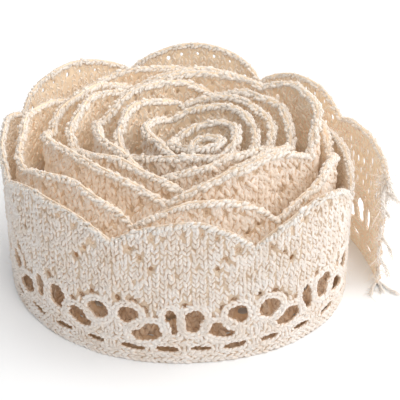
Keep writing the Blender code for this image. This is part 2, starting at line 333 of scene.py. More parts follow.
def openings_of(repeat):
    """The width of one repeat and its openings: kind, centre x and y, half sizes, slant, squareness.

    They are pulled a little uneven, and drawn in on the inner turns."""
    rng = np.random.default_rng(300 + repeat)
    width = run_at(repeat + 1.0) - run_at(float(repeat))
    rows = []
    for kind, table in (("large", LARGE_OPENINGS), ("slit", FOOT_SLITS), ("small", SMALL_EYELETS)):
        for share, height, w, h, slant, square in table:
            drawn = OPENED[kind] if repeat < OUTSIDE_TO else DRAWN_IN
            w *= drawn * (1.0 + rng.uniform(-PULL[kind], PULL[kind]))
            h *= drawn * (1.0 + rng.uniform(-PULL[kind], PULL[kind]))
            x = share * width + rng.uniform(-0.25, 0.25)
            y = height + rng.uniform(-0.15, 0.15)
            rows.append((kind, x, y, w / 2, h / 2, math.radians(slant + rng.uniform(-6, 6)), square))

    def top(share):
        return float(reach_of(np.array([repeat + share]))[0])

    for share, below in RIM_EYELETS:
        size = rng.uniform(0.42, 0.66)
        x = share * width + rng.uniform(-0.3, 0.3)
        rows.append(("small", x, top(share) - below, size, size * 1.15, 0.0, 2.0))
    for share in EDGE_EYELETS:
        size = rng.uniform(0.26, 0.42)
        x = share * width + rng.uniform(-0.3, 0.3)
        rows.append(("pin", x, top(share) - EDGE_EYELETS_BELOW, size, size * 1.5, 0.0, 2.0))
    if repeat < 2:
        for row, below in enumerate(WORN_HOLE_ROWS):
            for share in np.linspace(0.30, 0.82, 6) + 0.04 * (row % 2):
                x = share * width + rng.uniform(-0.4, 0.4)
                y = top(share) - below + rng.uniform(-0.5, 0.5)
                half_width = rng.uniform(0.36, 0.52) * (1.4 if repeat == 0 else 1.0)
                rows.append(("pin", x, y, half_width, rng.uniform(0.75, 1.25), rng.uniform(-0.2, 0.2), 2.0))
    return width, rows


def openings_within(repeat, first, last):
    """The openings of a repeat that lie whole on the strip between two counts."""
    width, rows = openings_of(repeat)
    x0, x1 = (max(first, float(repeat)) - repeat) * width, (min(last, repeat + 1.0) - repeat) * width
    return width, [r for r in rows if r[1] - r[3] > x0 + 0.25 and r[1] + r[3] < x1 - 0.25]


def ring_of(row, grow, points):
    """The outline of an opening grown by so many mm, as points in mm."""
    _, x, y, a, b, slant, square = row
    t = np.linspace(0.0, 2 * np.pi, points, endpoint=False)
    px = (a + grow) * np.sign(np.cos(t)) * np.abs(np.cos(t)) ** (2.0 / square)
    py = (b + grow) * np.sign(np.sin(t)) * np.abs(np.sin(t)) ** (2.0 / square)
    return np.stack([x + px * math.cos(slant) - py * math.sin(slant),
                     y + px * math.sin(slant) + py * math.cos(slant)], axis=-1)


def inside(row, x, y, grow):
    """Whether points lie in an opening grown by so many mm."""
    _, cx, cy, a, b, slant, square = row
    dx, dy = x - cx, y - cy
    u = (dx * math.cos(slant) + dy * math.sin(slant)) / (a + grow)
    v = (-dx * math.sin(slant) + dy * math.cos(slant)) / (b + grow)
    return np.abs(u) ** square + np.abs(v) ** square < 1.0


RING_POINTS = {"large": 14, "slit": 10, "small": 7, "pin": 7}


def flat_ground(first, last):
    """One flat net between two counts, with every opening cut out: counts, heights, triangles."""
    keys, counts, heights, triangles = {}, [], [], []

    def number(count, height):
        key = (round(count * 20000), round(height * 500))
        if key not in keys:
            keys[key] = len(counts)
            counts.append(count)
            heights.append(height)
        return keys[key]

    for repeat in range(int(first), int(math.ceil(last))):
        a, b = max(first, float(repeat)), min(last, repeat + 1.0)
        if b - a < 1e-6:
            continue
        width, rows = openings_within(repeat, first, last)
        x0, x1 = (a - repeat) * width, (b - repeat) * width
        columns = max(3, int(round((x1 - x0) / 1.25)))
        xs = np.linspace(x0, x1, columns + 1)
        reach = reach_of(repeat + np.clip(xs / width, 0, 1 - 1e-9))
        if b == repeat + 1.0:
            reach[-1] = reach_of(np.array([repeat + 1.0 - 1e-9]))[0]
        points, edges = [], []

        def loop(line):
            start = len(points)
            points.extend(Vector((float(p[0]), float(p[1]))) for p in line)
            edges.extend((start + k, start + (k + 1) % len(line)) for k in range(len(line)))

        side = np.linspace(0.0, 1.0, 15)
        outline = [(x, 0.0) for x in xs]
        outline += [(x1, reach[-1] * s) for s in side[1:-1]]
        outline += [(x, r) for x, r in zip(xs[::-1], reach[::-1])]
        outline += [(x0, reach[0] * s) for s in side[::-1][1:-1]]
        loop(outline)
        for row in rows:
            loop(ring_of(row, 0.0, RING_POINTS[row[0]]))
        for k, x in enumerate(xs[1:-1], 1):
            for y in np.linspace(0.0, reach[k], 19)[1:-1]:
                if not any(inside(r, x, y, 0.35) for r in rows):
                    points.append(Vector((float(x), float(y))))
        made, _, faces, *_ = delaunay_2d_cdt(points, edges, [], 0, 1e-5)
        co = np.array([(p[0], p[1]) for p in made])
        for face in faces:
            x, y = co[list(face)].mean(axis=0)
            if y > np.interp(x, xs, reach) or any(inside(r, x, y, -0.02) for r in rows):
                continue
            triangles.append([number(repeat + co[v, 0] / width, co[v, 1]) for v in face])
    return np.array(counts), np.array(heights), np.array(triangles)


def new_piece(name, points, faces, material):
    """A smooth-shaded object from points in metres and faces."""
    mesh = bpy.data.meshes.new(name)
    mesh.from_pydata([tuple(p) for p in points], [], [tuple(int(i) for i in f) for f in faces])
    mesh.validate()
    mesh.polygons.foreach_set("use_smooth", np.ones(len(mesh.polygons), bool))
    mesh.materials.append(material)
    mesh.update()
    ob = bpy.data.objects.new(name, mesh)
    bpy.context.scene.collection.objects.link(ob)
    return ob


def fold_shade_of(count, height):
    """How strongly a place hidden low behind the outer turn is browned as painted shade, 0 to 0.85."""
    return 0.85 * np.clip((19.5 - height) / 3.5, 0.0, 1.0) * np.clip((count - 8.8) / 0.4, 0.0, 1.0)


# count of scallops from the cut, share of the painted glow there, an emission standing in for the light that
# comes through the strip
LIT_ROWS = [
    (1.3, 1.45), (1.4, 0.45), (8.6, 0.45), (9.4, 1.0), (16.0, 1.0), (20.0, 0.9), (30.0, 0.75), (36.0, 0.5),
]
GROUND_THICK = 0.36


def lit_of(count):
    """How strong the painted glow is, an emission standing in for light through the strip: most at the loose
    end and in the second turn.
    """
    return np.interp(count, *np.array(LIT_ROWS).T)


def put_on_points(mesh, values):
    """Writes one number or one vector on each point of a mesh, under each name."""
    for name, value in values.items():
        value = np.asarray(value, np.float32)
        kind, key = ("FLOAT_VECTOR", "vector") if value.ndim == 2 else ("FLOAT", "value")
        mesh.attributes.new(name, kind, "POINT").data.foreach_set(key, value.ravel())


def ground_sheet(name, first, last, material):
    """The closed thin sheet between two counts."""
    count, height, tris = flat_ground(first, last)
    outer = on_strip(count, height, GROUND_THICK / 2)
    inner = on_strip(count, height, -GROUND_THICK / 2)
    a, b, c = (on_strip(count, height)[tris[:, k]] for k in range(3))
    turned = np.einsum("ij,ij->i", np.cross(b - a, c - a), strip_axes(count[tris[:, 0]])[2])
    tris = np.where(turned[:, None] > 0, tris, tris[:, ::-1])
    n = len(count)
    edges = dict.fromkeys((int(t[k]), int(t[(k + 1) % 3])) for t in tris for k in range(3))
    walls = [(b, a, a + n, b + n) for a, b in edges if (b, a) not in edges]
    faces = [tuple(t) for t in tris] + [tuple(t[::-1] + n) for t in tris] + walls
    ob = new_piece(name, np.concatenate([outer, inner]), faces, material)
    # The points carry the painted shade low behind the outer turn and the strength of the painted glow.
    own = {"facing": strip_axes(count)[2], "fold_shade": fold_shade_of(count, height), "lit": lit_of(count)}
    put_on_points(ob.data, {key: np.concatenate([value, value]) for key, value in own.items()})
    return ob


def give_sockets(tree, in_out, rows):
    """Named inputs or outputs of a tree: name, kind and, for some, the usual value."""
    for name, kind, *usual in rows:
        socket = tree.interface.new_socket(name, in_out=in_out, socket_type="NodeSocket" + kind)
        if usual:
            socket.default_value = usual[0]


def maths_in(add):
    """Gives a function for arithmetic nodes in the tree that add works on."""
    def maths(kind, a, b=0.0):
        return add("ShaderNodeMath", {0: a, 1: b}, operation=kind).outputs[0]
    return maths


# DARK and WARM_LIGHT are the two ends of the painted glow, an emission that stands in for light through the
# cotton.
DARK = (0.0, 0.0, 0.0, 1.0)
WARM_LIGHT = (1.0, 0.75, 0.51, 1.0)
PATCHES, SPECKS, FIBRES = 260.0, 1500.0, 7000.0
TWIST = 9000.0
PLIES = 3.0
BUMP_DEPTH = 0.00012


def cotton_look():
    """Soft cotton: mottled, brown in its crevices as painted shade, warm on the inner side with painted
    light and a painted glow, twisted.
    """
    tree = bpy.data.node_groups.new("cotton_look", "ShaderNodeTree")
    give_sockets(tree, "INPUT", [
        ("Deep Color", "Color"), ("Light Color", "Color"), ("Inner Color", "Color"),
        ("Crevice Color", "Color"), ("Crevice Share", "Float"), ("Let Through", "Float"),
        ("Twist Depth", "Float"),
    ])
    give_sockets(tree, "OUTPUT", [("Color", "Color"), ("Light Through", "Color"), ("Normal", "Vector")])
    add = worker(tree)
    maths = maths_in(add)
    given = add("NodeGroupInput").outputs
    place = add("ShaderNodeTexCoord").outputs["Object"]

    def noise(scale, detail):
        node = add("ShaderNodeTexNoise", {"Vector": place, "Scale": scale, "Detail": detail})
        return node.outputs["Fac"]

    def mix(share, a, b):
        node = add("ShaderNodeMix", {"Factor": share, "A": a, "B": b}, data_type="RGBA")
        return node.outputs["Result"]

    def between(value, low, high, reach=1.0):
        node = add("ShaderNodeMapRange", {
            "Value": value, "From Min": low, "From Max": high, "To Max": reach,
        }, interpolation_type="SMOOTHSTEP")
        return node.outputs["Result"]

    # colour: mottled at random; painted shade makes it browner on the flanks of a yarn and low in the roll,
    # and painted light makes it warmer and paler on the inner side
    facing = add("ShaderNodeAttribute", attribute_name="facing").outputs["Vector"]
    surface = add("ShaderNodeNewGeometry").outputs["Normal"]
    turned = add("ShaderNodeVectorMath", {0: facing, 1: surface}, operation="DOT_PRODUCT").outputs["Value"]
    patches = maths("MULTIPLY", noise(PATCHES, 3.0), 0.6)
    mottle = maths("ADD", patches, maths("MULTIPLY", noise(SPECKS, 2.0), 0.4))
    mottled = mix(between(mottle, 0.34, 0.64), given["Deep Color"], given["Light Color"])
    flank_shade = between(maths("ABSOLUTE", turned), 0.70, 0.08, given["Crevice Share"])
    # painted shade: browner low in the roll, behind the outer turn
    low = add("ShaderNodeAttribute", attribute_name="fold_shade").outputs["Fac"]
    crevice_shaded = mix(maths("MAXIMUM", flank_shade, low), mottled, given["Crevice Color"])
    # painted light: the side of the strip facing the roll's axis is coloured warmer and paler
    color = mix(between(turned, 0.15, -0.65, 0.8), crevice_shaded, given["Inner Color"])

    # painted glow, an emission standing in for light that comes through the thin cotton: on the inner side
    # everywhere, on the outer side of the inner turns
    lit = add("ShaderNodeAttribute", attribute_name="lit").outputs["Fac"]
    outer = maths("MINIMUM", between(lit, 0.45, 1.0, 0.8), between(lit, 1.45, 1.0, 0.8))
    inner = maths("MULTIPLY", between(turned, 0.0, -0.60), lit)
    passed = maths("MULTIPLY", maths("MAXIMUM", inner, outer), between(low, 1.1, 0.0))
    through = mix(maths("MULTIPLY", passed, given["Let Through"]), DARK, WARM_LIGHT)

    # relief: fine fibres and the plies of the yarn
    yarn_place = add("ShaderNodeAttribute", attribute_name="yarn_place").outputs["Vector"]
    split = add("ShaderNodeSeparateXYZ", {0: yarn_place}).outputs
    around = maths("MULTIPLY", maths("ARCTAN2", split["Y"], split["X"]), PLIES)
    ply = maths("SINE", maths("ADD", around, maths("MULTIPLY", split["Z"], TWIST)))
    fibres = maths("MULTIPLY", noise(FIBRES, 3.0), 0.6)
    relief = maths("ADD", fibres, maths("MULTIPLY", ply, given["Twist Depth"]))
    bump = add("ShaderNodeBump", {"Height": relief, "Strength": 0.5, "Distance": BUMP_DEPTH})
    add("NodeGroupOutput", {"Color": color, "Light Through": through, "Normal": bump.outputs["Normal"]})
    return tree


COTTON_LOOK = cotton_look()


def cotton(name, colors, crevice_shade_share, painted_glow_share, twist_depth):
    """A matte cotton material with its own deep, light, inner and crevice colours."""
    mat = bpy.data.materials.new(name)
    mat.use_nodes = True
    tree = mat.node_tree
    inputs = {key: (*color, 1.0) for key, color in colors.items()}
    inputs.update({"Crevice Share": crevice_shade_share, "Let Through": painted_glow_share, "Twist Depth": twist_depth})
    look = worker(tree)("ShaderNodeGroup", node_tree=COTTON_LOOK)
    for key, value in inputs.items():
        look.inputs[key].default_value = value
    bsdf = tree.nodes["Principled BSDF"].inputs
    tree.links.new(look.outputs["Color"], bsdf["Base Color"])
    tree.links.new(look.outputs["Normal"], bsdf["Normal"])
    tree.links.new(look.outputs["Light Through"], bsdf["Emission Color"])
    for key, value in {
        "Emission Strength": 1.0, "Roughness": 0.93, "Specular IOR Level": 0.2, "Sheen Weight": 0.15,
        "Sheen Roughness": 0.5, "Subsurface Weight": 0.25, "Subsurface Radius": (1.0, 0.92, 0.84),
        "Subsurface Scale": 0.0015,
    }.items():
        bsdf[key].default_value = value
    return mat


# The ground sheet is painted a darker, browner cotton than the yarn, as painted shade in the gaps between
# the stitches, with painted light on its inner side.
shaded_ground_cotton = cotton("shaded_ground_cotton", {
    "Deep Color": (0.55, 0.40, 0.28), "Light Color": (0.76, 0.61, 0.47),
    "Inner Color": (0.95, 0.77, 0.57), "Crevice Color": (0.72, 0.49, 0.31),
}, crevice_shade_share=0.0, painted_glow_share=0.12, twist_depth=0.0)
roll_ground = ground_sheet("lace_ground", ROLL_FROM, ROLL_TO, shaded_ground_cotton)
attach(roll_ground, "root")
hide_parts("lace_roll")

tail_ground = ground_sheet("loose_ground", CUT_AT, TAIL_TO, shaded_ground_cotton)
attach(tail_ground, "root")
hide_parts("loose_end")

# Stitches: the yarn of the trim lies in slanting pairs of short legs, column beside column, over the
# whole ground. Each leg is soft-spun cotton yarn, looped in with the ground, and its tip dips under the
# pair above it.

# The yarn is mottled at random in its own colours, browned on its flanks as painted shade, and warmer on the
# inner side as painted light.
yarn_cotton = cotton("yarn_cotton", {
    "Deep Color": (0.87, 0.75, 0.64), "Light Color": (0.955, 0.885, 0.82),
    "Inner Color": (0.98, 0.86, 0.71), "Crevice Color": (0.74, 0.52, 0.35),
}, crevice_shade_share=0.9, painted_glow_share=0.12, twist_depth=0.35)


def read_own(add, name, kind):
    """What each point carries under a name."""
    return add("GeometryNodeInputNamedAttribute", {"Name": name}, data_type=kind).outputs["Attribute"]


def keep_own(add, geometry, name, value, kind):
    """Writes a value on every point under a name."""
    return add("GeometryNodeStoreNamedAttribute", {"Geometry": geometry, "Name": name, "Value": value},
               data_type=kind, domain="POINT").outputs["Geometry"]


def sweep(add, curve, ring):
    """A ring drawn along a curve, as thick as the curve says, with closed ends."""
    radius = add("GeometryNodeInputRadius").outputs[0]
    return add("GeometryNodeCurveToMesh", {
        "Curve": curve, "Profile Curve": ring, "Scale": radius, "Fill Caps": True}).outputs["Mesh"]


def finish_tree(add, geometry, material):
    """Ends a tree: a plain mesh, shaded smooth, in its material."""
    real = add("GeometryNodeRealizeInstances", {"Geometry": geometry}).outputs["Geometry"]
    soft = add("GeometryNodeSetShadeSmooth", {"Geometry": real}).outputs["Geometry"]
    painted = add("GeometryNodeSetMaterial", {"Geometry": soft, "Material": material}).outputs["Geometry"]
    add("NodeGroupOutput", {"Geometry": painted})


def stitch_tree():
    """Lays one yarn leg on every point, turned by the point's own directions."""
    tree = bpy.data.node_groups.new("yarn_legs", "GeometryNodeTree")
    give_sockets(tree, "INPUT", [
        ("Geometry", "Geometry"), ("Leg Length", "Float", 0.0016), ("Yarn Width", "Float", 0.00088),
        ("Bow", "Float", 0.0001), ("Sides", "Int", 5), ("Rings", "Int", 4), ("Turn Spread", "Float", 0.16),
        ("Size Spread", "Float", 0.12), ("Seed", "Int", 1), ("Material", "Material"),
    ])
    give_sockets(tree, "OUTPUT", [("Geometry", "Geometry")])
    add = worker(tree)
    maths = maths_in(add)
    given = add("NodeGroupInput").outputs

    def vector(x, y, z):
        return add("ShaderNodeCombineXYZ", {0: x, 1: y, 2: z}).outputs[0]

    # one leg, upright: thick in its middle and bowed a little outward
    half = maths("MULTIPLY", given["Leg Length"], 0.5)
    foot = vector(0.0, 0.0, maths("MULTIPLY", half, -1.0))
    line = add("GeometryNodeCurvePrimitiveLine", {"Start": foot, "End": vector(0.0, 0.0, half)})
    line = add("GeometryNodeResampleCurve", {"Curve": line.outputs["Curve"], "Count": given["Rings"]})
    share = add("GeometryNodeSplineParameter").outputs["Factor"]
    hump = maths("SINE", maths("MULTIPLY", share, math.pi))
    bow = vector(maths("MULTIPLY", hump, given["Bow"]), 0.0, 0.0)
    bowed = add("GeometryNodeSetPosition", {"Geometry": line.outputs["Curve"], "Offset": bow})
    radius = maths("ADD", maths("MULTIPLY", hump, 0.62), 0.46)
    thick = add("GeometryNodeSetCurveRadius", {"Curve": bowed.outputs["Geometry"], "Radius": radius})
    ring = add("GeometryNodeCurvePrimitiveCircle", {
        "Resolution": given["Sides"], "Radius": maths("MULTIPLY", given["Yarn Width"], 0.5)})
    leg = sweep(add, thick.outputs["Curve"], ring.outputs["Curve"])
    leg = keep_own(add, leg, "yarn_place", add("GeometryNodeInputPosition").outputs[0], "FLOAT_VECTOR")

    # each point's leg strays a little from its own direction and size
    stray = add("FunctionNodeRandomValue", {
        0: (-1.0, -1.0, -1.0), 1: (1.0, 1.0, 1.0), "Seed": given["Seed"]}, data_type="FLOAT_VECTOR")
    stray = add("ShaderNodeVectorMath", {
        0: stray.outputs[0], "Scale": given["Turn Spread"]}, operation="SCALE")
    lie = add("ShaderNodeVectorMath", {0: read_own(add, "lie", "FLOAT_VECTOR"), 1: stray.outputs[0]},
              operation="ADD")
    turned = add("FunctionNodeAxesToRotation", {
        0: lie.outputs[0], 1: read_own(add, "facing", "FLOAT_VECTOR")}, primary_axis="Z", secondary_axis="X")
    size = add("FunctionNodeRandomValue", {
        2: maths("SUBTRACT", 1.0, given["Size Spread"]), 3: maths("ADD", 1.0, given["Size Spread"]),
        "Seed": maths("ADD", given["Seed"], 7.0)}, data_type="FLOAT")
    girth = maths("MULTIPLY", size.outputs[1], read_own(add, "girth", "FLOAT"))
    length = maths("MULTIPLY", girth, read_own(add, "stretch", "FLOAT"))
    laid = add("GeometryNodeInstanceOnPoints", {
        "Points": given["Geometry"], "Instance": leg, "Rotation": turned.outputs[0],
        "Scale": vector(girth, girth, length)})
    finish_tree(add, laid.outputs["Instances"], given["Material"])
    return tree


YARN_LEGS = stitch_tree()


def make_with(tree, name, points, edges, values, settings):
    """A plain mesh from a node tree, worked over points with their own values."""
    mesh = bpy.data.meshes.new(name + "_points")
    mesh.from_pydata([tuple(p) for p in points], edges, [])
    put_on_points(mesh, values)
    ob = bpy.data.objects.new(name, mesh)
    bpy.context.scene.collection.objects.link(ob)
    work = ob.modifiers.new("work", "NODES")
    work.node_group = tree
    sockets = {s.name: s.identifier for s in tree.interface.items_tree if s.in_out == "INPUT"}
    for key, value in settings.items():
        work[sockets[key]] = value
    graph = bpy.context.evaluated_depsgraph_get()
    made = bpy.data.meshes.new_from_object(ob.evaluated_get(graph))
    ob.modifiers.clear()
    ob.data = made
    made.name = name
    bpy.data.meshes.remove(mesh)
    return ob


class Legs:
    """Yarn legs gathered for one piece, each with its place and directions on the strip."""

    def __init__(self):
        self.rows = []

    def add(self, count, height, out, slant, dip, girth=1.0, stretch=1.0):
        """Slant is 0 along the strip and 90 degrees up it. Dip is how far the tip turns outward."""
        row = [np.atleast_1d(np.asarray(v, float)) for v in (count, height, out, slant, dip, girth, stretch)]
        self.rows.append(np.stack(np.broadcast_arrays(*row)))

    def piece(self, name, settings):
        count, height, out, slant, dip, girth, stretch = np.concatenate(self.rows, axis=1)
        along, up, outward = strip_axes(count)
        a = np.radians(slant)[:, None]
        # Each leg carries the painted shade low behind the outer turn and the strength of the painted glow
        # of its place.
        return make_with(YARN_LEGS, name, on_strip(count, height, out), [], {
            "lie": np.cos(a) * along + np.sin(a) * up + dip[:, None] * outward, "facing": outward,
            "fold_shade": fold_shade_of(count, height), "lit": lit_of(count), "girth": girth, "stretch": stretch,
        }, settings)


COLUMN_PITCH = 1.5
LEG_SLANT = 26.0
LEG_STRAY = 0.11
TIP_DIP = -0.32
# lowest height of the stitches and number of rows: above the openwork outside, from the foot inside
OUTSIDE_ROWS = (5.7, 23)
INSIDE_ROWS = (0.9, 28)
INSIDE_PLUSH = 0.22
# a band of the inner turns that no view reaches is left bare
BARE_BAND = (11.0, 17.0)
# how far the legs keep off each kind of opening
KEEP_OFF = {"large": 0.55, "slit": 0.5, "small": 0.45, "pin": 0.40}
KEEP_OFF_WORN = 0.55


def ground_legs(first, last, above):
    """Pairs of legs over the ground between two counts, clear of the openings."""
    legs = Legs()
    for repeat in range(int(first), int(math.ceil(last))):
        rng = np.random.default_rng(900 + repeat)
        outside = repeat < OUTSIDE_TO
        width, rows = openings_within(repeat, first, last)
        columns = int(round(width / COLUMN_PITCH))
        low, high = OUTSIDE_ROWS if outside else INSIDE_ROWS
        plush = 0.0 if outside else INSIDE_PLUSH
        col = (np.arange(columns) + 0.5) / columns + rng.normal(0.0, 0.10, columns) / width
        hop = rng.uniform(-0.35, 0.35, columns)
        for side in (-1, 1):
            count = repeat + col + side * 0.25 / columns
            keep = (count > first + 0.01) & (count < last - 0.01)
            count = count[keep]
            reach = reach_of(np.maximum(count, 0.0))
            rows_here = (np.arange(high)[None, :] + 0.5 + hop[keep][:, None]) / high
            h = low + (reach[:, None] - 0.9 - low) * rows_here
            c = np.repeat(count[:, None], high, axis=1)
            c = c + rng.normal(0.0, LEG_STRAY, c.shape) / width
            h = h + rng.normal(0.0, LEG_STRAY, h.shape)
            slant = 90.0 - side * (LEG_SLANT + rng.normal(0.0, 9.0, c.shape))
            bare = (h > BARE_BAND[0]) & (h < BARE_BAND[1]) & (not outside)
            clear = (h > above) & ~bare & (h < reach[:, None] - 0.75) & (rng.uniform(0, 1, c.shape) > 0.015)
            for row in rows:
                worn = row[0] == "pin" and repeat < 2
                clear &= ~inside(row, (c - repeat) * width, h, KEEP_OFF_WORN if worn else KEEP_OFF[row[0]])
            out = rng.normal(0.0, 0.07 + 0.5 * plush, c.shape)
            girth = 1.0 + plush + 0.10 * np.sin(c * 9.1 + h * 0.6) * np.sin(h * 1.3 + c * 4.0)
            legs.add(c[clear], h[clear], out[clear], slant[clear], TIP_DIP, girth[clear])
    return legs


stitch_pieces = []
for name, first, last, above, sides, seed in (
    ("outer_turn_stitches", ROLL_FROM, 9.0, 0.0, 4, 11),
    ("second_turn_stitches", 9.0, 15.9, 0.0, 4, 12),
    ("middle_turn_stitches", 15.9, 25.0, 17.0, 4, 13),
    ("core_stitches", 25.0, ROLL_TO, 20.0, 4, 14),
    ("loose_end_stitches", CUT_AT, TAIL_TO, 0.0, 5, 15),
):
    settings = {"Material": yarn_cotton, "Seed": seed, "Sides": sides}
    made = ground_legs(first, last, above).piece(name, settings)
    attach(made, "root")
    stitch_pieces.append(made)

# Plaits round the openings: round each opening the yarn runs in a flat plait of two strands, worked in
# one with the ground, so that the bars between the openings stand out as zigzag plaits.

# distance off the opening's edge, spacing of the legs, lean of the legs
PLAIT_RINGS = ((0.12, 1.05, 20.0), (0.78, 1.15, -20.0))


def plait_legs(first, last):
    """Two rings of legs round each large opening and one round each slit."""
    legs = Legs()
    for repeat in range(int(first), int(math.ceil(last))):
        rng = np.random.default_rng(1200 + repeat)
        width, rows = openings_within(repeat, first, last)
        for row in rows:
            if row[0] in ("small", "pin"):
                continue
            large = row[0] == "large"
            for ring, (off, spacing, lean) in enumerate(PLAIT_RINGS if large else PLAIT_RINGS[:1]):
                line = ring_of(row, off, 72)
                line = np.concatenate([line, line[:1]])
                run = np.concatenate([[0.0], np.cumsum(np.linalg.norm(np.diff(line, axis=0), axis=1))])
                steps = max(6, int(round(run[-1] / spacing)))
                at = (np.arange(steps) + 0.5 * ring) / steps * run[-1]
                px, py = (np.interp(at, run, line[:, k]) for k in (0, 1))
                qx, qy = (np.interp((at + 0.05) % run[-1], run, line[:, k]) for k in (0, 1))
                slant = np.degrees(np.arctan2(qy - py, qx - px)) + lean
                out = 0.10 + rng.normal(0.0, 0.06, steps)
                slant = slant + rng.normal(0, 6, steps)
                legs.add(repeat + px / width, py, out, slant, 0.0, 0.98 if large else 0.86)
    return legs


for name, first, last, seed in (
    ("opening_plaits", ROLL_FROM, 9.6, 21), ("loose_end_plaits", CUT_AT, TAIL_TO, 22),
):
    settings = {"Material": yarn_cotton, "Seed": seed, "Turn Spread": 0.08}
    made = plait_legs(first, last).piece(name, settings)
    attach(made, "root")
    stitch_pieces.append(made)

# Foot: the straight foot is cotton yarn worked along the strip, a firm braided edge with a ladder of
# slits above it, closed by a second braid.

BRAID_HEIGHTS = (0.45, 1.05, 1.75, 2.35, 4.55, 5.15)
LADDER_HEIGHTS = (2.9, 3.8)


def foot_legs(first, last):
    """Legs along the braids, leaning by turns, and upright legs between the slits."""
    legs = Legs()
    for repeat in range(int(first), int(math.ceil(last))):
        rng = np.random.default_rng(1500 + repeat)
        width, rows = openings_within(repeat, first, last)
        rows = [row for row in rows if row[0] != "pin"]

        def clear_of(count, x, h, off):
            clear = (count > first + 0.02) & (count < last - 0.02)
            for row in rows:
                clear &= ~inside(row, x, h, off)
            return clear

        for j, y in enumerate(BRAID_HEIGHTS):
            steps = int(round(width / 1.3))
            x = (np.arange(steps) + 0.5 * (j % 2) + rng.normal(0, 0.06, steps)) / steps * width
            h = y + rng.normal(0, 0.06, steps)
            out = rng.normal(0.06, 0.05, steps)
            slant = (24.0 if j % 2 else -24.0) + rng.normal(0, 6, steps)
            clear = clear_of(repeat + x / width, x, h, 0.15)
            legs.add((repeat + x / width)[clear], h[clear], out[clear], slant[clear], 0.0, 0.95, 1.05)
        for y in LADDER_HEIGHTS:
            steps = int(round(width / 0.8))
            x = (np.arange(steps) + rng.normal(0, 0.08, steps)) / steps * width
            out = rng.normal(0.02, 0.05, steps)
            slant = 90.0 + rng.normal(0, 14, steps)
            clear = clear_of(repeat + x / width, x, np.full(steps, y), 0.45)
            legs.add((repeat + x / width)[clear], y, out[clear], slant[clear], 0.0, 0.95)
    return legs


for name, first, last, seed in (
    ("foot_braid", ROLL_FROM, 9.6, 31), ("loose_end_foot", CUT_AT, TAIL_TO, 32),
):
    settings = {"Material": yarn_cotton, "Seed": seed, "Turn Spread": 0.08}
    made = foot_legs(first, last).piece(name, settings)
    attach(made, "root")
    stitch_pieces.append(made)

# Scalloped edge: the rim of the scallops is worked firmly in the same cotton. Three rows of short legs
# lock over the edge like close chain stitches, and stand fuller on the inner turns.

# The rim is the same cotton, painted paler and less warm than the faces: a painted highlight along the
# scalloped edges.
highlit_rim_cotton = cotton("highlit_rim_cotton", {
    "Deep Color": (0.83, 0.765, 0.69), "Light Color": (0.89, 0.845, 0.795),
    "Inner Color": (0.89, 0.83, 0.755), "Crevice Color": (0.78, 0.60, 0.44),
}, crevice_shade_share=0.6, painted_glow_share=0.05, twist_depth=0.35)
RIM_PITCH = 0.78
RIM_PLUSH = 0.25


def rim_legs(first, last, seed):
    """Short legs locked over the scalloped edge between two counts."""
    rng = np.random.default_rng(seed)
    legs = Legs()
    run = np.arange(run_at(first), run_at(last), RIM_PITCH)
    n = len(run)
    for side in (-1, 0, 1):
        at = np.clip(run + 0.25 * side + rng.normal(0.0, 0.12, n), run_at(first), run_at(last))
        count = np.interp(np.interp(at, LENGTH, ANGLE), ANGLE, COUNT)
        top = reach_of(count)
        plush = np.clip((count - 8.0) / 8.0, 0.0, 1.0) * RIM_PLUSH
        rise = (reach_of(count + 0.01) - top) / (run_at(count + 0.01) - run_at(count))
        slope = np.clip(np.degrees(np.arctan(rise)), -60.0, 60.0)
        height = top - 0.40 - 0.30 * abs(side) + rng.normal(0.0, 0.12, n)
        out = (0.34 + plush) * side + rng.normal(0.0, 0.09 + 0.4 * plush, n)
        slant = slope + (side + 0.3) * 34.0 + rng.normal(0.0, 20.0, n)
        girth = 0.92 + 0.5 * plush + rng.normal(0.0, 0.10, n)
        legs.add(count, height, out, slant, 0.20 * side, girth, 0.80)
    return legs


rim_pieces = []
for name, first, last, seed in (
    ("outer_rim", ROLL_FROM, 16.0, 61), ("inner_rim", 16.0, ROLL_TO, 62),
    ("loose_end_rim", CUT_AT, TAIL_TO, 63),
):
    settings = {"Material": highlit_rim_cotton, "Seed": seed, "Sides": 4}
    made = rim_legs(first, last, seed).piece(name, settings)
    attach(made, "root")
    rim_pieces.append(made)

# Frayed end: where the trim was cut the yarns stand out loose: broken legs along the cut, plied cotton
# yarns that open towards their tips, and fine fibres. They are held only by the ground behind the cut,
# and replace the plain frayed strip.

fluff_cotton = cotton("fluff_cotton", {
    "Deep Color": (0.93, 0.85, 0.77), "Light Color": (0.97, 0.92, 0.86),
    "Inner Color": (0.97, 0.90, 0.82), "Crevice Color": (0.85, 0.70, 0.55),
}, crevice_shade_share=0.0, painted_glow_share=0.0, twist_depth=0.0)
CUT_YARNS = [  # height, length, turn outward, rise, droop, radius
    (25.0, 4.5, 20.0, -20.0, 1.0, 0.35), (23.6, 6.0, -14.0, -6.0, 1.8, 0.38),
    (22.0, 5.2, 26.0, 12.0, 1.4, 0.34), (20.2, 3.6, -8.0, -30.0, 0.8, 0.36),
    (17.6, 2.8, 16.0, 6.0, 0.6, 0.34), (14.8, 3.4, -20.0, -24.0, 0.8, 0.35),
    (11.6, 6.5, 12.0, 8.0, 2.6, 0.36), (9.4, 3.8, -16.0, -18.0, 0.8, 0.35),
    (6.6, 4.6, 24.0, -28.0, 0.6, 0.36), (4.2, 3.2, -10.0, -14.0, 0.5, 0.35),
    (0.4, 5.6, -26.0, 0.0, 0.0, 0.36), (0.4, 4.4, 8.0, 0.0, 0.0, 0.36),
    (0.4, 6.2, 34.0, 0.0, 0.0, 0.36),
]
CUT_LINE = 0.12
NO_SIDE = np.zeros(3)
PLY_TURN = 2.4
CUT_FIBRES, TUFT_FIBRES = 420, 260
TUFT_FROM, CUT_TOP = 19.5, 26.0


